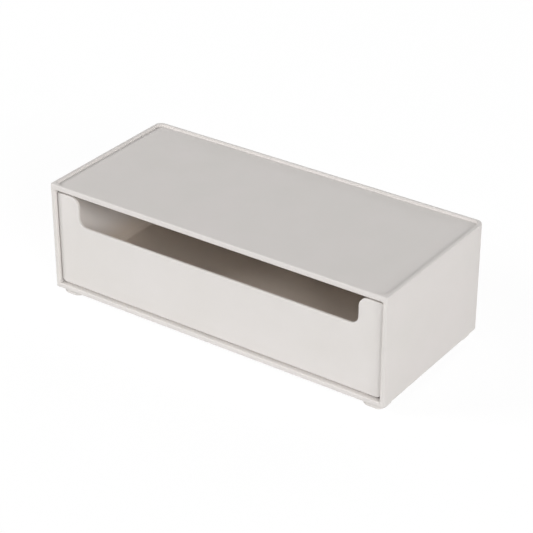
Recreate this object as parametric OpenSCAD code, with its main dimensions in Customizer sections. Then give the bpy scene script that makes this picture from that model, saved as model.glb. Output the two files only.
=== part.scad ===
// Stackable drawer box: a one-piece moulded casing, open at the front, with one
// sliding drawer. A low rim round the top holds the feet of the next box.
//
// The origin lies on the surface that the box stands on, below the middle of
// the casing. X runs along the width, Y from the front to the back, Z up.

/* [Casing] */
// Outer width, from side to side
casing_w = 300; // [260:1:400]
// Outer depth, from the front frame to the back
casing_d = 135; // [120:1:200]
// Outer height, without the feet
casing_h = 90; // [80:1:140]
// Thickness of the two side walls
side_wall = 3.5; // [2.6:0.1:4.5]
// Thickness of the floor
floor_wall = 4; // [2.6:0.1:4.5]
// Thickness of the closed back
back_wall = 2.8; // [2:0.1:4]
// Thickness of the top panel, inside the rim
top_panel = 2.7; // [2:0.1:4]
// Radius of the two upright corners at the back
rear_corner_r = 6; // [4:0.5:9]
// Radius of the two upright corners at the front
front_corner_r = 1.6; // [1.4:0.1:2]
// Rounding of the long outer edges
outer_edge_r = 1.1; // [0.6:0.1:1.3]
// Rounding of the frame's inner edge, where the drawer goes in
mouth_edge_r = 0.9; // [0.3:0.1:1]
// Radius of the four corners of the mouth
mouth_corner_r = 1.2; // [1:0.1:2]

/* [Stacking rim] */
// Height of the rim above the top panel
rim_h = 2; // [1.5:0.1:3]
// Width of the rim, seen from above
rim_w = 2.6; // [2.4:0.1:3.4]
// Radius of the corners inside the rim
rim_corner_r = 5; // [4:0.5:8]
// Rounding where the top panel meets the rim
rim_root_r = 0.7; // [0.3:0.1:1]
// Rounding of the rim's inner edge
rim_edge_r = 0.5; // [0.3:0.1:0.8]

/* [Feet and pads] */
// Height of the underside above the surface
foot_h = 5.4; // [3.6:0.1:6]
// Width and depth of a foot
foot_w = 18; // [16:0.5:24]
// Radius of a foot's corners
foot_corner_r = 6; // [5:0.5:7]
// Play between a foot and the rim of the box below
foot_play = 0.5; // [0.3:0.1:1]
// Rounding of a foot's lower edge
foot_edge_r = 1.2; // [0.6:0.1:1.4]
// Radius of the flare where a foot meets the underside
foot_flare_r = 1.6; // [0.8:0.1:1.8]
// Width and depth of an anti-slip pad
pad_w = 11; // [9:0.5:12]
// Radius of a pad's corners
pad_corner_r = 3.5; // [2.5:0.5:4]
// Thickness of a pad
pad_t = 1.5; // [1.2:0.1:1.8]
// How far a pad stands out of its foot
pad_proud = 0.5; // [0.3:0.1:0.8]
// Play round a pad in its pocket
pad_play = 0.1; // [0.05:0.05:0.2]
// Rounding of a pad's lower edge
pad_edge_r = 0.3; // [0.1:0.1:0.3]

/* [Drawer] */
// How far the drawer's front lies behind the frame
drawer_set_back = 2.8; // [1:0.1:5]
// Gap on each side of the drawer
side_gap = 0.9; // [0.6:0.1:1.2]
// Gap between the drawer's front and the casing's floor
floor_gap = 1.3; // [1.2:0.1:1.8]
// Gap between the drawer and the top panel
top_gap = 3.1; // [2.6:0.1:4]
// Gap between the drawer and the back
back_gap = 1.5; // [1:0.1:3]
// Thickness of the drawer's front
front_t = 2.5; // [2.4:0.1:3.5]
// How far the drawer's front reaches down below its body
front_drop = 2; // [1:0.1:3]
// Radius of the lower corners of the drawer's front
front_lower_r = 4; // [2:0.5:5]
// Thickness of the drawer's sides and back
tray_wall = 2.2; // [1.8:0.1:2.8]
// Thickness of the drawer's floor
tray_floor = 2; // [1.6:0.1:2.8]
// Rounding along the lower edges of the drawer's body
tray_lower_r = 6; // [4:0.5:6.5]
// Radius of the drawer's upright corners at the back
tray_rear_r = 7; // [7:0.5:9]
// Rounding between the drawer's floor and walls, inside
tray_root_r = 3; // [2:0.5:3.5]
// Radius of the upright corners inside the drawer
tray_inner_r = 4; // [4:0.5:5]
// Rounding of the outer upper edge of the drawer's walls
tray_rim_outer_r = 1; // [0.9:0.1:1]
// Rounding of the inner upper edge of the drawer's walls
tray_rim_inner_r = 0.5; // [0.3:0.1:0.6]
// Rounding of the edge of the drawer's front
front_edge_r = 0.7; // [0.4:0.1:0.9]

/* [Finger notch] */
// Width of the land that is left on each side of the notch
notch_land = 20.2; // [18:0.1:40]
// Depth of the notch, from the top of the drawer's front
notch_depth = 23.3; // [18:0.1:30]
// Radius of the notch's two upper corners
notch_upper_r = 7.5; // [5:0.5:9]
// Radius of the notch's two lower corners
notch_lower_r = 7; // [5:0.5:8]
// Rounding of the notch's edge, on the inside of the drawer
notch_edge_r = 0.7; // [0.4:0.1:0.9]

/* [Runners and stops] */
// Width of a runner on the casing's floor
runner_w = 4; // [3:0.5:8]
// Distance from the casing's side to the middle of a runner
runner_inset = 34; // [24:1:50]
// How far the runners and guides end behind the front frame
runner_set_back = 10; // [8:1:20]
// Running clearance between the drawer and a runner
runner_play = 0.3; // [0.2:0.1:0.4]
// Width of a guide under the top panel, beside the drawer's top
guide_w = 6; // [4:0.5:10]
// Clearance between the drawer's top and a guide
guide_play = 0.9; // [0.6:0.1:1.2]
// How far the drawer slides out
travel = 100; // [80:1:110]
// Width of a stop
stop_w = 26; // [16:1:40]
// Length of a stop along the slide
stop_l = 5; // [4:0.5:8]
// Distance from the middle of the box to the middle of a stop
stop_x = 70; // [40:1:80]
// Distance from the front frame to a stop on the floor
stop_set_back = 8; // [7:0.5:12]
// Height in which a stop and a catch overlap
stop_overlap = 1; // [0.6:0.1:1.2]
// Gap that is left between two stops with the drawer fully out
stop_gap = 0.3; // [0.2:0.1:0.5]

/* [Colours] */
// Colour of the casing and the drawer
shell_colour = "#dfdbd7";
// Colour of the anti-slip pads
pad_colour = "#a9a6a2";

/* [Hidden] */

$fn = 64;
// Length by which a cutting shape runs past the surface that it cuts
over = 1;
// Overlap that joins a rib, a flare or a foot to its wall
join = 0.4;

// Casing, seen from the front and from above
casing_z = foot_h;
casing_top = casing_z + casing_h;
front_y = -casing_d / 2;
mouth_x = casing_w / 2 - side_wall;
mouth_z = casing_z + floor_wall;
panel_top = casing_top - rim_h;
ceiling_z = panel_top - top_panel;
inner_back_y = casing_d / 2 - back_wall;

// Drawer
tray_x = mouth_x - side_gap;
tray_front_y = front_y + drawer_set_back;
tray_back_y = inner_back_y - back_gap;
tray_z = mouth_z + floor_gap;
body_z = tray_z + front_drop;
tray_top = ceiling_z - top_gap;
notch_x = tray_x - notch_land;
notch_z = tray_top - notch_depth;

// Feet and pads
foot_inset = rim_w + foot_play;
foot_x = casing_w / 2 - foot_inset - foot_w / 2;
foot_y = casing_d / 2 - foot_inset - foot_w / 2;
foot_body_h = foot_h - pad_proud;

// Runners, guides and stops
body_gap = floor_gap + front_drop;
runner_h = body_gap - runner_play;
runner_x = casing_w / 2 - runner_inset;
runner_front_y = front_y + runner_set_back;
guide_h = top_gap - guide_play;
stop_h = (body_gap + stop_overlap) / 2;
stop_y = front_y + stop_set_back;
catch_y = stop_y + stop_l + stop_gap + travel;

// An outline is a list of corners [x, y, r], each with the radius r that
// rounds it. It is drawn with the solid on the left of its path.
casing_plan = [
    [-casing_w / 2, -casing_d / 2, front_corner_r],
    [casing_w / 2, -casing_d / 2, front_corner_r],
    [casing_w / 2, casing_d / 2, rear_corner_r],
    [-casing_w / 2, casing_d / 2, rear_corner_r]
];
rim_plan = box_plan(casing_w / 2 - rim_w, casing_d / 2 - rim_w, rim_corner_r);
mouth_outline = [
    [-mouth_x, mouth_z, mouth_corner_r],
    [mouth_x, mouth_z, mouth_corner_r],
    [mouth_x, ceiling_z, mouth_corner_r],
    [-mouth_x, ceiling_z, mouth_corner_r]
];
foot_plan = box_plan(foot_w / 2, foot_w / 2, foot_corner_r);
pad_plan = box_plan(pad_w / 2, pad_w / 2, pad_corner_r);
pocket_plan = box_plan(pad_w / 2 + pad_play, pad_w / 2 + pad_play, pad_corner_r + pad_play);
tray_plan = [
    [-tray_x, tray_front_y, 0],
    [tray_x, tray_front_y, 0],
    [tray_x, tray_back_y, tray_rear_r],
    [-tray_x, tray_back_y, tray_rear_r]
];
hollow_plan = [
    [-tray_x + tray_wall, tray_front_y + front_t, tray_inner_r],
    [tray_x - tray_wall, tray_front_y + front_t, tray_inner_r],
    [tray_x - tray_wall, tray_back_y - tray_wall, tray_inner_r],
    [-tray_x + tray_wall, tray_back_y - tray_wall, tray_inner_r]
];
// The drawer's sides and back, seen from above: an open path round the back
tray_sides = [
    [tray_x, tray_front_y - over, 0],
    [tray_x, tray_back_y, tray_rear_r],
    [-tray_x, tray_back_y, tray_rear_r],
    [-tray_x, tray_front_y - over, 0]
];
// The drawer's front before its notch is cut
front_blank = [
    [-tray_x, tray_z, front_lower_r],
    [tray_x, tray_z, front_lower_r],
    [tray_x, tray_top, tray_rim_outer_r],
    [-tray_x, tray_top, tray_rim_outer_r]
];
// The edge of the drawer's front, with the notch in its upper edge
front_outline = [
    [-tray_x, tray_z, front_lower_r],
    [tray_x, tray_z, front_lower_r],
    [tray_x, tray_top, tray_rim_outer_r],
    [notch_x, tray_top, notch_upper_r],
    [notch_x, notch_z, notch_lower_r],
    [-notch_x, notch_z, notch_lower_r],
    [-notch_x, tray_top, notch_upper_r],
    [-tray_x, tray_top, tray_rim_outer_r]
];
// The notch alone, as an open path along its edge
notch_edge = [for (i = [2:7]) front_outline[i]];
// What is cut away to open the notch
notch_reach = notch_x + notch_upper_r + over;
notch_outline = [
    [-notch_x, notch_z, notch_lower_r],
    [notch_x, notch_z, notch_lower_r],
    [notch_x, tray_top, notch_upper_r],
    [notch_reach, tray_top, 0],
    [notch_reach, tray_top + over, 0],
    [-notch_reach, tray_top + over, 0],
    [-notch_reach, tray_top, 0],
    [-notch_x, tray_top, notch_upper_r]
];

function box_plan(x, y, r) = [[-x, -y, r], [x, -y, r], [x, y, r], [-x, y, r]];
function reversed(path) = [for (i = [len(path) - 1:-1:0]) path[i]];
function flat(corner) = [corner[0], corner[1]];
function wrap(path, i) = path[(i + len(path)) % len(path)];
function heading(a, b) = atan2(b[1] - a[1], b[0] - a[0]);
// Turn at corner i, from -180 to 180 degrees, positive to the left
function turn(path, i) =
    let (
        before = heading(wrap(path, i - 1), path[i]),
        after = heading(path[i], wrap(path, i + 1)),
        change = after - before
    )
    change > 180 ? change - 360 : change < -180 ? change + 360 : change;
function ray(angle) = [cos(angle), sin(angle)];
// Distance from a corner to where its arc starts
function trim(path, i) = path[i][2] * tan(abs(turn(path, i)) / 2);
function arc_start(path, i) =
    flat(path[i]) - trim(path, i) * ray(heading(wrap(path, i - 1), path[i]));
function arc_end(path, i) =
    flat(path[i]) + trim(path, i) * ray(heading(path[i], wrap(path, i + 1)));
function arc_centre(path, i) =
    let (side = sign(turn(path, i)))
    arc_start(path, i) + path[i][2] * ray(heading(wrap(path, i - 1), path[i]) + side * 90);

// Area inside an outline, with true arcs at its corners
module outline(path) {
    last = len(path) - 1;
    difference() {
        union() {
            polygon([for (i = [0:last]) each (
                path[i][2] > 0 ? [arc_start(path, i), arc_end(path, i)] : [flat(path[i])]
            )]);
            for (i = [0:last])
                if (path[i][2] > 0 && turn(path, i) > 0)
                    translate(arc_centre(path, i))
                        circle(path[i][2]);
        }
        for (i = [0:last])
            if (path[i][2] > 0 && turn(path, i) < 0)
                translate(arc_centre(path, i))
                    circle(path[i][2]);
    }
}

// Section of what rounds an edge: a square less a quarter of a circle. Its x
// runs into the solid from the side, its y into the solid from the face.
module edge_section(r) {
    difference() {
        translate([-over, -over])
            square(r + over);
        translate([r, r])
            circle(r);
    }
}

// Section of a fillet that fills an inner corner, sunk a little into both walls
module fillet_section(r) {
    difference() {
        translate([-join, -join])
            square(r + join);
        translate([r, r])
            circle(r);
    }
}

// Carries a section along a path: straight between the corners, turned round
// each one. An open path leaves out the side that would close it.
module carry(path, closed = true) {
    last = len(path) - 1;
    for (i = [0:closed ? last : last - 1]) {
        next = (i + 1) % len(path);
        start = arc_end_or_corner(path, i, closed);
        end = arc_start_or_corner(path, next, closed);
        translate([start[0], start[1], 0])
            rotate([90, 0, heading(path[i], path[next]) + 90])
                linear_extrude(norm(end - start))
                    children();
    }
    for (i = [closed ? 0 : 1:closed ? last : last - 1]) {
        bend = turn(path, i);
        into = heading(wrap(path, i - 1), path[i]);
        centre = arc_centre(path, i);
        if (path[i][2] > 0 && bend > 0)
            translate([centre[0], centre[1], 0])
                rotate(into - 90)
                    rotate_extrude(angle = bend)
                        translate([path[i][2], 0])
                            mirror([1, 0])
                                children();
        if (path[i][2] > 0 && bend < 0)
            translate([centre[0], centre[1], 0])
                rotate(into + 90 + bend)
                    rotate_extrude(angle = -bend)
                        translate([path[i][2], 0])
                            children();
    }
}
function is_end(path, i, closed) = !closed && (i == 0 || i == len(path) - 1);
function arc_start_or_corner(path, i, closed) =
    is_end(path, i, closed) ? flat(path[i]) : arc_start(path, i);
function arc_end_or_corner(path, i, closed) =
    is_end(path, i, closed) ? flat(path[i]) : arc_end(path, i);

// Turns a drawing of X and Z to face the front. Its depth runs to the back.
module facing_front(y) {
    translate([0, y, 0])
        rotate([90, 0, 0])
            mirror([0, 0, 1])
                children();
}

// Turns a drawing of X and Z so that its depth runs to the front
module facing_back(y) {
    translate([0, y, 0])
        rotate([90, 0, 0])
            children();
}

// Turns a drawing so that its depth runs down
module facing_down(z) {
    translate([0, 0, z])
        mirror([0, 0, 1])
            children();
}

module at_feet() {
    for (side = [-1, 1], end = [-1, 1])
        translate([side * foot_x, end * foot_y, 0])
            children();
}

module casing_block() {
    difference() {
        translate([0, 0, casing_z])
            linear_extrude(casing_h)
                outline(casing_plan);
        translate([0, 0, casing_z])
            carry(casing_plan)
                edge_section(outer_edge_r);
        facing_down(casing_top)
            carry(casing_plan)
                edge_section(outer_edge_r);
    }
}

// The room inside the rim, with a rounded root and a rounded upper edge
module rim_recess() {
    difference() {
        translate([0, 0, panel_top])
            linear_extrude(rim_h + over)
                outline(rim_plan);
        translate([0, 0, panel_top])
            carry(rim_plan)
                edge_section(rim_root_r);
    }
    facing_down(casing_top)
        carry(reversed(rim_plan))
            edge_section(rim_edge_r);
}

// The room for the drawer, with a rounded edge at its mouth
module casing_mouth() {
    facing_front(front_y - over)
        linear_extrude(inner_back_y - front_y + over)
            outline(mouth_outline);
    facing_front(front_y)
        carry(reversed(mouth_outline))
            edge_section(mouth_edge_r);
}

// One foot, flared where it meets the underside, with a pocket for its pad
module foot() {
    difference() {
        union() {
            translate([0, 0, pad_proud])
                linear_extrude(foot_body_h + join)
                    outline(foot_plan);
            facing_down(casing_z)
                carry(reversed(foot_plan))
                    fillet_section(foot_flare_r);
        }
        translate([0, 0, pad_proud])
            carry(foot_plan)
                edge_section(foot_edge_r);
        translate([0, 0, -over])
            linear_extrude(pad_t + over)
                outline(pocket_plan);
    }
}

module pad_at(side, end) {
    translate([side * foot_x, end * foot_y, 0])
        difference() {
            linear_extrude(pad_t)
                outline(pad_plan);
            carry(pad_plan)
                edge_section(pad_edge_r);
        }
}

// Two runners carry the drawer, and two guides above its sides keep it level
module runners() {
    length = inner_back_y - runner_front_y + join;
    for (side = [-1, 1]) {
        translate([side * runner_x - runner_w / 2, runner_front_y, mouth_z - join])
            cube([runner_w, length, runner_h + join]);
        translate([side * (mouth_x + join - (guide_w + join) / 2) - (guide_w + join) / 2,
                runner_front_y, ceiling_z - guide_h])
            cube([guide_w + join, length, guide_h + join]);
    }
}

// A stop is a low wedge: its slope lets the drawer pass, its upright end holds
module stop_wedge(rise) {
    rotate([90, 0, 90])
        linear_extrude(stop_w, center = true)
            polygon([[0, -join], [stop_l, -join], [stop_l, rise], [stop_l / 2, rise], [0, 0]]);
}

module floor_stops() {
    for (side = [-1, 1])
        translate([side * stop_x, stop_y, mouth_z])
            stop_wedge(stop_h);
}

// The catches under the drawer meet the floor stops when it is fully out
module tray_catches() {
    for (side = [-1, 1])
        translate([side * stop_x, catch_y + stop_l, body_z])
            rotate([180, 0, 0])
                stop_wedge(stop_h);
}

// The front reaches down below the body, so it hides the runners
module tray_front() {
    facing_front(tray_front_y)
        linear_extrude(front_t)
            outline(front_blank);
}

module tray_block() {
    difference() {
        translate([0, 0, body_z])
            linear_extrude(tray_top - body_z)
                outline(tray_plan);
        translate([0, 0, body_z])
            carry(tray_sides, closed = false)
                edge_section(tray_lower_r);
        facing_down(tray_top)
            carry(tray_sides, closed = false)
                edge_section(tray_rim_outer_r);
    }
}

module tray_hollow() {
    difference() {
        translate([0, 0, body_z + tray_floor])
            linear_extrude(tray_top - body_z)
                outline(hollow_plan);
        translate([0, 0, body_z + tray_floor])
            carry(hollow_plan)
                edge_section(tray_root_r);
    }
    facing_down(tray_top)
        carry(reversed(hollow_plan))
            edge_section(tray_rim_inner_r);
}

module finger_notch() {
    facing_front(tray_front_y - over)
        linear_extrude(front_t + 2 * over)
            outline(notch_outline);
    facing_back(tray_front_y + front_t)
        carry(notch_edge, closed = false)
            edge_section(notch_edge_r);
}

module casing() {
    color(shell_colour) {
        difference() {
            union() {
                casing_block();
                at_feet()
                    foot();
            }
            rim_recess();
            casing_mouth();
        }
        runners();
        floor_stops();
    }
}

module drawer() {
    color(shell_colour) {
        difference() {
            union() {
                tray_front();
                tray_block();
            }
            tray_hollow();
            finger_notch();
            facing_front(tray_front_y)
                carry(front_outline)
                    edge_section(front_edge_r);
        }
        tray_catches();
    }
}

module foot_pad_front_left() {
    color(pad_colour)
        pad_at(-1, -1);
}

module foot_pad_front_right() {
    color(pad_colour)
        pad_at(1, -1);
}

module foot_pad_rear_left() {
    color(pad_colour)
        pad_at(-1, 1);
}

module foot_pad_rear_right() {
    color(pad_colour)
        pad_at(1, 1);
}

casing();
drawer();
foot_pad_front_left();
foot_pad_front_right();
foot_pad_rear_left();
foot_pad_rear_right();
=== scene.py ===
# %% [markdown]
# # A stackable drawer box
#
# The real box is two injection mouldings of warm white ABS: a casing that is
# open at the front, and a drawer that slides in it. Four rubber pads under the
# casing keep it from sliding on the desk.
#
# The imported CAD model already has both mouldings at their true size, with
# their edges rounded. So this lesson keeps those meshes, gives each a finish,
# models the rubber pads, and sets up the light and the camera.

# %% Load the frame
import math

import bpy
import numpy as np
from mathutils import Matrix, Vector


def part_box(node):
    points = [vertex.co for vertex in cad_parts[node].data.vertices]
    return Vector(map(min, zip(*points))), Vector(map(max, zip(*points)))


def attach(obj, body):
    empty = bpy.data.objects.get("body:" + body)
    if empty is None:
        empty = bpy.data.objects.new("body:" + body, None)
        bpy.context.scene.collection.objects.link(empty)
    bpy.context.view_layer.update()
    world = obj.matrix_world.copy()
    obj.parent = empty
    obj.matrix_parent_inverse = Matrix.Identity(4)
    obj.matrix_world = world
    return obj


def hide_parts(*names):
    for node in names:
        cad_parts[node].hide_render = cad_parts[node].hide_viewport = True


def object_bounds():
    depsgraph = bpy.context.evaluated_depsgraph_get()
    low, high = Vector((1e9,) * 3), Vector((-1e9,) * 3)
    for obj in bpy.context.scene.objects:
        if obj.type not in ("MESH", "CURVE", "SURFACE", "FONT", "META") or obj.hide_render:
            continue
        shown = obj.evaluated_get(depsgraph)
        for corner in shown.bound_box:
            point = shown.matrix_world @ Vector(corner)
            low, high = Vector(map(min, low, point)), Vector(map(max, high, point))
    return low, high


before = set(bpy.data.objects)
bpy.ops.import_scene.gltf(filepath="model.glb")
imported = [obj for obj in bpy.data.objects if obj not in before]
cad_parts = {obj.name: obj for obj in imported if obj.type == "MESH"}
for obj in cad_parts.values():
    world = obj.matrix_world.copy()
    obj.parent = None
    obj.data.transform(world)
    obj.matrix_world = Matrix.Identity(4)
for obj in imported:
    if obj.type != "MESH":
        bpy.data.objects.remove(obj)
cad_low, cad_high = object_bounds()
millimetre = 0.001
print("size in mm:", [round(side / millimetre, 1) for side in cad_high - cad_low])

# %% [markdown]
# ## Colours
#
# A colour picked on a screen is an sRGB value, stored with a curve that suits
# the eye. Shaders add and multiply light, so they need linear values. Blender's
# colour field turns one into the other when a hex value is typed in. A script
# has to do it itself, so one function undoes the curve, and every colour below
# goes through it.


# %% Turn a hex colour into linear light
def linear(hex_colour):
    """Undoes the sRGB curve: a short straight part, then a power of 2.4."""
    coded = np.array([int(hex_colour[i:i + 2], 16) for i in (1, 3, 5)]) / 255
    light = np.where(coded <= 0.04045, coded / 12.92, ((coded + 0.055) / 1.055) ** 2.4)
    return (*light.tolist(), 1.0)


print("warm white in linear light:", [round(c, 3) for c in linear("#dfdbd7")])

# %% [markdown]
# ## Building materials
#
# A material is a small graph of nodes. It can be drawn by hand in the shader
# editor, but a script can be read and run again. Its helper adds one node, sets
# its properties, and fills its inputs: a socket is linked, anything else is a
# fixed value. All materials read Object coordinates, which are metres here,
# so a pattern's size in millimetres turns into a texture scale.


# %% Helpers for node graphs
def add(tree, kind, inputs=(), **settings):
    """Adds a node, sets its properties, and links or fills the named inputs."""
    node = tree.nodes.new(kind)
    for name, value in settings.items():
        setattr(node, name, value)
    for name, value in dict(inputs).items():
        if isinstance(value, bpy.types.NodeSocket):
            tree.links.new(value, node.inputs[name])
        else:
            node.inputs[name].default_value = value
    return node


def new_material(name):
    """Returns an empty material and its node tree."""
    material = bpy.data.materials.new(name)
    material.use_nodes = True
    material.node_tree.nodes.clear()
    return material, material.node_tree


def per_metre(size_mm):
    """Texture scale at which one feature of the pattern is size_mm wide."""
    return 1 / (size_mm * millimetre)


print("a 2 mm pattern has scale", per_metre(2))

# %% [markdown]
# ## Outside and inside
#
# The outside of both mouldings is shaped by steel that was spark-eroded to a
# fine matte. The inside is shaped by a core that is polished, so that the part
# comes off it. The two finishes meet along the edges of the walls. The inside
# also carries painted light and painted shade in its colour, set out below.
# The zones could be painted on a UV map, or be two material slots with the
# faces sorted between them. Here the shader works them out from where a point
# lies, so the CAD mesh stays as it is and the line between them can be soft.
# The line lies in the middle of each wall's edge, which makes the inside a
# plain box. A point's distance from the middle of that box, less half the box,
# is below zero along all three axes only inside of it.

# %% The room inside each moulding


def room_inside(node, walls_mm):
    """The node's box, with each of its six sides moved in by a length in mm."""
    low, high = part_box(node)
    near = Vector(walls_mm[:3]) * millimetre
    far = Vector(walls_mm[3:]) * millimetre
    return low + near, high - far


# Lengths from each moulding's box to the middle of its walls. The casing's
# inside starts behind its frame, its floor lies above the feet, and its top
# panel below the rim. The drawer's floor lies above the catches under it, and
# its room goes on above its open top.
side_mm, back_mm, frame_mm, feet_and_floor_mm, rim_and_panel_mm = 1.75, 1.4, 8.0, 6.9, 3.3
casing_room = room_inside("casing", (
    side_mm, frame_mm, feet_and_floor_mm, side_mm, back_mm, rim_and_panel_mm))
tray_wall_mm, front_mm, catch_and_floor_mm, open_top_mm = 1.1, 1.25, 3.15, -1.0
drawer_room = room_inside("drawer", (
    tray_wall_mm, front_mm, catch_and_floor_mm, tray_wall_mm, tray_wall_mm, open_top_mm))
print("rooms, lowest corner in mm:", [
    [round(side / millimetre, 1) for side in room[0]] for room in (casing_room, drawer_room)])

# %% Nodes that tell the inside from the outside
blend_mm = 0.4


def share_inside(tree, place, room):
    """1 inside the box and 0 outside: the largest of the three overshoots, as a soft step."""
    low, high = room
    from_middle = add(tree, "ShaderNodeVectorMath", {0: place, 1: (low + high) / 2},
                      operation="SUBTRACT")
    distance = add(tree, "ShaderNodeVectorMath", {0: from_middle.outputs["Vector"]},
                   operation="ABSOLUTE")
    beyond = add(tree, "ShaderNodeVectorMath", {
        0: distance.outputs["Vector"], 1: (high - low) / 2}, operation="SUBTRACT")
    along = add(tree, "ShaderNodeSeparateXYZ", {"Vector": beyond.outputs["Vector"]})
    level = add(tree, "ShaderNodeMath", {0: along.outputs["X"], 1: along.outputs["Y"]},
                operation="MAXIMUM")
    widest = add(tree, "ShaderNodeMath", {0: level.outputs[0], 1: along.outputs["Z"]},
                 operation="MAXIMUM")
    reach = blend_mm / 2 * millimetre
    return add(tree, "ShaderNodeMapRange", {
        "Value": widest.outputs[0], "From Min": -reach, "From Max": reach,
        "To Min": 1.0, "To Max": 0.0}).outputs["Result"]


print("the finishes blend over", blend_mm, "mm")

# %% [markdown]
# ## Moulded ABS
#
# ABS is coloured in the mass. Its matte outside has a very fine grain and a
# soft, broad highlight, and its polished inside a tighter highlight. An ABS
# surface mirrors about as much light as glass does, at an index of 1.53.
#
# The colour is even but never perfect, because the melt flows and cools a
# little differently from place to place: it wanders between two close tones
# over a few centimetres. Inside, the walls are painted a lighter, warmer tone:
# painted light for the light that falls in through the notch. Low down the
# tone turns deeper and warmer: painted shade for the dim, warm light that
# bounces round inside.
#
# The grain of a spark-eroded tool is about 0.1 mm, too fine to show at this
# distance, so it is drawn several times coarser. Where hands and the other
# moulding rub, the matte is polished a little, so the roughness wanders too.
#
# Images of real plastic could carry these patterns, but they need a UV map, and
# they blur or repeat up close. Noise textures need neither. Their values crowd
# round one half, so a narrow range of them is stretched over both ends of what
# they drive.

# %% Moulded ABS for the casing and the drawer
drift_mm = 45
cloud_mm = 9
grain_mm = 0.7
grain_depth = 0.02 * millimetre
noise_low, noise_high = 0.3, 0.7
# Heights above the inside floor where the painted shade is full and where it is gone.
painted_shade_full_mm, painted_shade_gone_mm = 5, 30
matte_roughness = (0.58, 0.68)
polished_roughness = 0.3
abs_ior = 1.53


def moulded_abs(name, light_tone, dark_tone, painted_light_wall_tone, painted_shade_floor_tone, room):
    """Matte outside, polished inside the room, painted light on its walls, painted shade low
    down.
    """
    material, tree = new_material(name)
    place = add(tree, "ShaderNodeTexCoord").outputs["Object"]
    inside = share_inside(tree, place, room)

    drift = add(tree, "ShaderNodeTexNoise", {
        "Vector": place, "Scale": per_metre(drift_mm), "Detail": 3.0, "Roughness": 0.5})
    light_share = add(tree, "ShaderNodeMapRange", {
        "Value": drift.outputs["Fac"], "From Min": noise_low, "From Max": noise_high})
    outer_tone = add(tree, "ShaderNodeMix", {
        "Factor": light_share.outputs["Result"], "A": linear(dark_tone), "B": linear(light_tone)},
        data_type="RGBA")

    # Painted light and shade inside: lighter walls, and a tone that turns deeper and warmer
    # towards the floor.
    bottom = room[0].z
    height = add(tree, "ShaderNodeSeparateXYZ", {"Vector": place})
    painted_floor_shade = add(tree, "ShaderNodeMapRange", {
        "Value": height.outputs["Z"], "From Min": bottom + painted_shade_full_mm * millimetre,
        "From Max": bottom + painted_shade_gone_mm * millimetre, "To Min": 1.0, "To Max": 0.0},
        interpolation_type="SMOOTHSTEP")
    painted_inner_tone = add(tree, "ShaderNodeMix", {
        "Factor": painted_floor_shade.outputs["Result"], "A": linear(painted_light_wall_tone), "B": linear(painted_shade_floor_tone)},
        data_type="RGBA")
    colour = add(tree, "ShaderNodeMix", {
        "Factor": inside, "A": outer_tone.outputs["Result"], "B": painted_inner_tone.outputs["Result"]},
        data_type="RGBA")

    cloud = add(tree, "ShaderNodeTexNoise", {
        "Vector": place, "Scale": per_metre(cloud_mm), "Detail": 4.0, "Roughness": 0.6})
    matte = add(tree, "ShaderNodeMapRange", {
        "Value": cloud.outputs["Fac"], "From Min": noise_low, "From Max": noise_high,
        "To Min": matte_roughness[0], "To Max": matte_roughness[1]})
    finish = add(tree, "ShaderNodeMix", {
        "Factor": inside, "A": matte.outputs["Result"], "B": polished_roughness})

    grain = add(tree, "ShaderNodeTexNoise", {
        "Vector": place, "Scale": per_metre(grain_mm), "Detail": 2.0, "Roughness": 0.6})
    relief = add(tree, "ShaderNodeBump", {
        "Height": grain.outputs["Fac"], "Distance": grain_depth, "Strength": 1.0})
    shader = add(tree, "ShaderNodeBsdfPrincipled", {
        "Base Color": colour.outputs["Result"], "Roughness": finish.outputs["Result"],
        "Normal": relief.outputs["Normal"], "IOR": abs_ior})
    add(tree, "ShaderNodeOutputMaterial", {"Surface": shader.outputs["BSDF"]})
    return material


# The inside tones are painted: lighter walls are painted light, and a deeper, warmer floor is
# painted shade.
casing_abs = moulded_abs(
    "moulded_abs_casing", light_tone="#e1dcd9", dark_tone="#dedad6",
    painted_light_wall_tone="#e6dcd3", painted_shade_floor_tone="#e6dacf", room=casing_room)
drawer_abs = moulded_abs(
    "moulded_abs_drawer", light_tone="#e2dedb", dark_tone="#dfdbd7",
    painted_light_wall_tone="#ebe5e0", painted_shade_floor_tone="#e3d7cb", room=drawer_room)
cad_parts["casing"].material_slots[0].material = casing_abs
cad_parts["drawer"].material_slots[0].material = drawer_abs
print("ABS:", casing_abs.name, "and", drawer_abs.name)

# %% [markdown]
# ## Moulded rubber
#
# The pads are thermoplastic rubber. It is grey and dull: its roughness is high,
# so it has almost no highlight. Dust and talc settle on every soft surface, as
# a fine speckle that is lighter than the rubber and stands a little proud of
# it. The real specks are too fine to show, so they are drawn coarser.
#
# Each speck could be a tiny grain of its own, but there would be far too many.
# One noise texture does it, and drives tone, roughness and relief alike, so
# that the three agree from speck to speck.

# %% Moulded rubber for the pads
speckle_mm = 1.2
speckle_depth = 0.03 * millimetre
speckle_low, speckle_high = 0.35, 0.75
rubber_roughness = (0.75, 0.95)
rubber_ior = 1.5


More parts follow.
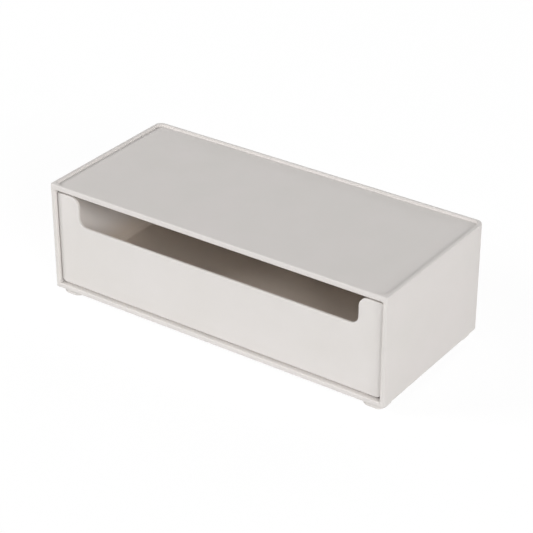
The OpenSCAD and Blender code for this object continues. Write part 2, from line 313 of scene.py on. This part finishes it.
def moulded_rubber(name, clean_tone, dusty_tone):
    """Dull rubber with a fine speckle of dust."""
    material, tree = new_material(name)
    place = add(tree, "ShaderNodeTexCoord").outputs["Object"]
    speckle = add(tree, "ShaderNodeTexNoise", {
        "Vector": place, "Scale": per_metre(speckle_mm), "Detail": 5.0, "Roughness": 0.65})
    dust = add(tree, "ShaderNodeMapRange", {
        "Value": speckle.outputs["Fac"], "From Min": speckle_low, "From Max": speckle_high})
    tone = add(tree, "ShaderNodeMix", {
        "Factor": dust.outputs["Result"], "A": linear(clean_tone), "B": linear(dusty_tone)},
        data_type="RGBA")
    dull = add(tree, "ShaderNodeMapRange", {
        "Value": speckle.outputs["Fac"], "To Min": rubber_roughness[0],
        "To Max": rubber_roughness[1]})
    relief = add(tree, "ShaderNodeBump", {
        "Height": speckle.outputs["Fac"], "Distance": speckle_depth, "Strength": 1.0})
    shader = add(tree, "ShaderNodeBsdfPrincipled", {
        "Base Color": tone.outputs["Result"], "Roughness": dull.outputs["Result"],
        "Normal": relief.outputs["Normal"], "IOR": rubber_ior})
    add(tree, "ShaderNodeOutputMaterial", {"Surface": shader.outputs["BSDF"]})
    return material


pad_rubber = moulded_rubber("moulded_rubber_pad", clean_tone="#a5a29e", dusty_tone="#b5b2ae")
print("rubber:", pad_rubber.name)

# %% [markdown]
# ## The shape of an anti-slip pad
#
# Each pad is a small rounded square, pressed into a pocket in its foot. Its
# sole has low ridges one inside the other, which grip the desk, and its edge
# is rounded so that it doesn't catch.
#
# Insets and extrusions of a square would do, but the ridges would take many of
# them. Two short formulas say the same. The first is the outline, seen from
# above. The second is a path from the middle of the sole to its edge, up the
# side and back to the middle of the top. It holds a share of the outline and a
# height for each step, so that the ridges keep the pad's shape.

# %% Outline and path of a pad
pad_corner_mm = 3.5
pad_edge_mm = 0.3
ridge_count = 4
ridge_depth_mm = 0.25
outline_steps = 64
sole_steps = 60
edge_steps = 7
# The path starts and ends near the middle, and crosses the flat top in two steps.
first_share = 0.04
top_share = 0.5
fading_power = 12


def pad_outline(half, corner):
    """Rounded square: the middle of each corner's arc plus a turning radius."""
    angle = (np.arange(outline_steps) + 0.5) * 2 * math.pi / outline_steps
    direction = np.stack([np.cos(angle), np.sin(angle)], axis=1)
    return np.sign(direction) * (half - corner) + direction * corner


def pad_path(height, edge, reach):
    """Share of the outline and height: waves on the sole, a round edge, the side, the top.

    A wave is half of one minus a cosine. One minus a high power of the share makes the
    last groove shallower. The waves stop two radii of the edge short of the outline, and
    a straight flank leads on to the round edge, which is a quarter of a circle.
    """
    sole = np.linspace(first_share, 1 - 2 * edge / reach, sole_steps)
    waves = (1 - np.cos(sole * 2 * math.pi * ridge_count)) / 2 * (1 - sole ** fading_power)
    below = np.stack([sole, waves * ridge_depth_mm * millimetre], axis=1)
    turn = np.linspace(0, math.pi / 2, edge_steps)
    lower = np.stack([
        1 + (np.sin(turn) - 1) * edge / reach, edge * (1 - np.cos(turn))], axis=1)
    upper = lower[::-1] * [1, -1] + [0, height]
    above = [[top_share, height], [first_share, height]]
    return np.concatenate([below, lower, upper, above])


print("points on one pad:", outline_steps * (sole_steps + 2 * edge_steps + 2) + 2)

# %% [markdown]
# ## From rings to a closed surface
#
# The path's steps, each with its own size of the outline, are rings of points.
# A bridge tool could join them one by one. With equal counts, whole arrays of
# indices do it at once: each face takes a point, the next one on its ring, and
# the same two on the following ring. A pole closes each end with triangles.
# The order of the corners decides where a face looks, and here that is out.


# %% Join rings and close them
def closed_surface(name, rings, bottom, top):
    """Joins rings of equal length into a tube, and closes it at two poles."""
    count, steps = rings.shape[:2]
    points = np.concatenate([rings.reshape(-1, 3), [bottom, top]])
    here = np.arange(steps)
    after = np.roll(here, -1)
    start = np.arange(count - 1)[:, None] * steps
    walls = np.stack([start + here, start + after, start + steps + after,
                      start + steps + here], axis=-1).reshape(-1, 4)
    last = (count - 1) * steps
    low_pole, high_pole = count * steps, count * steps + 1
    caps = np.concatenate([
        np.stack([np.full(steps, low_pole), after, here], axis=1),
        np.stack([np.full(steps, high_pole), last + here, last + after], axis=1)])
    mesh = bpy.data.meshes.new(name)
    mesh.from_pydata(points, [], walls.tolist() + caps.tolist())
    mesh.polygons.foreach_set("use_smooth", np.ones(len(mesh.polygons), bool))
    mesh.update()
    piece = bpy.data.objects.new(name, mesh)
    bpy.context.collection.objects.link(piece)
    return piece


print("faces on one pad:", outline_steps * (sole_steps + 2 * edge_steps + 3))

# %% [markdown]
# ## Four pads in their pockets
#
# A pad sits in a pocket under each foot and stands half a millimetre proud of
# it. Four typed positions would do, but they would go stale if the feet were
# ever moved. So each pad takes its place and size from the plain solid that the
# CAD model has there, and then stands for it. It rides on the casing, which
# carries it.

# %% Make the pads
pad_nodes = sorted(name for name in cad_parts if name.startswith("foot_pad"))
for node in pad_nodes:
    low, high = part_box(node)
    half, height = (high.x - low.x) / 2, high.z - low.z
    outline = pad_outline(half, pad_corner_mm * millimetre)
    path = pad_path(height, pad_edge_mm * millimetre, half)
    rings = np.concatenate([
        path[:, None, :1] * outline, np.repeat(path[:, None, 1:], outline_steps, 1)], axis=2)
    middle = np.array([(low.x + high.x) / 2, (low.y + high.y) / 2, low.z])
    pad = closed_surface(
        node.replace("foot_pad", "ridged_pad"), rings + middle, middle, middle + [0, 0, height])
    pad.data.materials.append(pad_rubber)
    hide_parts(node)
    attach(pad, "casing")
    print(pad.name, len(pad.data.vertices), "vertices")

# %% [markdown]
# ## The floor
#
# A plain white floor carries the box. A white card would look grey here, as the
# lamps are no brighter than the box needs. So to the camera the floor is almost
# as white as the background: a large share of plain white is mixed in for what
# the camera and a reflection see. The rest is matte and takes the box's shadow.
# It sends back less light than it gets, and the plain white makes up for that
# by being a little over 1.

# %% Floor
floor_half = 6.0
card_tone = "#f4f4f4"
white_share = 0.92
white_strength = 1.03
floor_mesh = bpy.data.meshes.new("floor")
corners = [(-floor_half, -floor_half, 0), (floor_half, -floor_half, 0),
           (floor_half, floor_half, 0), (-floor_half, floor_half, 0)]
floor_mesh.from_pydata(corners, [], [(0, 1, 2, 3)])
floor = bpy.data.objects.new("floor", floor_mesh)
bpy.context.collection.objects.link(floor)

painted, tree = new_material("matte_white_floor")
rays = add(tree, "ShaderNodeLightPath").outputs
seen = add(tree, "ShaderNodeMath", {0: rays["Is Camera Ray"], 1: rays["Is Glossy Ray"]},
           operation="MAXIMUM")
share = add(tree, "ShaderNodeMath", {0: seen.outputs[0], 1: white_share}, operation="MULTIPLY")
matte_white = add(tree, "ShaderNodeBsdfDiffuse", {"Color": linear(card_tone)})
plain_white = add(tree, "ShaderNodeEmission", {
    "Color": linear("#ffffff"), "Strength": white_strength})
mixed = add(tree, "ShaderNodeMixShader", {
    "Fac": share.outputs[0], 1: matte_white.outputs["BSDF"], 2: plain_white.outputs["Emission"]})
add(tree, "ShaderNodeOutputMaterial", {"Surface": mixed.outputs["Shader"]})
floor.data.materials.append(painted)
print("floor", 2 * floor_half, "m wide")

# %% [markdown]
# ## The room
#
# The world is what a ray meets when it misses everything. An image of a studio
# could stand for it, but would put its windows into every reflection. So to the
# camera, in reflections and through anything clear it is plain white. To matte
# surfaces it is a dim white room, which keeps the deepest gaps from going black.

# %% World
room_light = 0.05
background_light = 1.0
world = bpy.data.worlds.new("white_room")
bpy.context.scene.world = world
world.use_nodes = True
tree = world.node_tree
tree.nodes.clear()
rays = add(tree, "ShaderNodeLightPath").outputs
direct = add(tree, "ShaderNodeMath", {0: rays["Is Camera Ray"], 1: rays["Is Glossy Ray"]},
             operation="MAXIMUM")
seen = add(tree, "ShaderNodeMath", {0: direct.outputs[0], 1: rays["Is Transmission Ray"]},
           operation="MAXIMUM")
dim = add(tree, "ShaderNodeBackground", {"Color": linear("#ffffff"), "Strength": room_light})
white = add(tree, "ShaderNodeBackground", {
    "Color": linear("#ffffff"), "Strength": background_light})
mixed = add(tree, "ShaderNodeMixShader", {
    "Fac": seen.outputs[0], 1: dim.outputs["Background"], 2: white.outputs["Background"]})
add(tree, "ShaderNodeOutputWorld", {"Surface": mixed.outputs["Shader"]})
print("room light", room_light)

# %% [markdown]
# ## The lamps
#
# Five soft panels stand round the box. Two on the right light that side, and
# reach through the notch to the left wall inside. One on the left makes the
# front the brightest side, and reaches through the notch to the drawer's floor.
# Of the two behind the box, the high one adds light and a soft sheen to the top,
# and the low one lights the back.
#
# A sun lamp would need less thought, but its shadows are hard. The larger a
# panel looks from the box, the softer the edge of its shadow.

# %% Lamps


def towards(azimuth, elevation):
    """Unit vector to a place round the box: azimuth 0 is in front, 90 on the right."""
    a, e = math.radians(azimuth), math.radians(elevation)
    return Vector((math.sin(a) * math.cos(e), -math.cos(a) * math.cos(e), math.sin(e)))


middle_of_box = (cad_low + cad_high) / 2


def soft_panel(name, azimuth, elevation, distance, width, height, power):
    """A light of width x height metres that faces the middle of the box."""
    light = bpy.data.lights.new(name, "AREA")
    light.shape = "RECTANGLE"
    light.size, light.size_y = width, height
    light.energy = power
    lamp = bpy.data.objects.new(name, light)
    way = towards(azimuth, elevation)
    lamp.location = middle_of_box + way * distance
    lamp.rotation_euler = way.to_track_quat("Z", "Y").to_euler()
    bpy.context.collection.objects.link(lamp)
    return lamp


lamps = [
    soft_panel("right_high_panel", azimuth=52, elevation=26, distance=6.0,
               width=1.6, height=1.6, power=135.0),
    soft_panel("right_low_panel", azimuth=70, elevation=16, distance=6.0,
               width=1.6, height=1.6, power=111.0),
    soft_panel("left_panel", azimuth=-55, elevation=27, distance=5.0,
               width=1.6, height=1.4, power=155.0),
    soft_panel("back_high_panel", azimuth=-163, elevation=36, distance=5.0,
               width=5.0, height=2.2, power=47.0),
    soft_panel("back_low_panel", azimuth=180, elevation=8, distance=5.0,
               width=5.0, height=1.2, power=70.0),
]
print("lamps:", [lamp.name for lamp in lamps])

# %% [markdown]
# ## The camera
#
# The camera stands to the right of the box and above it. Without perspective,
# near and far edges would be equal, as in a technical drawing. A short lens
# would stretch the near corner. A long lens lies between the two: the far edges
# come out only a little shorter than the near ones.

# %% Camera
camera_azimuth = 35.0
camera_elevation = 29.5
camera_distance = 1.3853
camera_target = Vector((0.0029, 0.0002, 0.0411))
lens_mm = 123.69
sensor_mm = 36.0
farthest_seen = 100.0

camera_data = bpy.data.cameras.new("camera")
camera_data.lens = lens_mm
camera_data.sensor_width = sensor_mm
camera_data.clip_end = farthest_seen
camera = bpy.data.objects.new("camera", camera_data)
way = towards(camera_azimuth, camera_elevation)
camera.location = camera_target + way * camera_distance
camera.rotation_euler = way.to_track_quat("Z", "Y").to_euler()
bpy.context.collection.objects.link(camera)
bpy.context.scene.camera = camera
bpy.context.scene.view_settings.view_transform = "Standard"
print("camera at", [round(value, 3) for value in camera.location])

# %% [markdown]
# ## The size
#
# The dressed model has to stay as large as the CAD model.

# %% Sizes and the end
print("done")
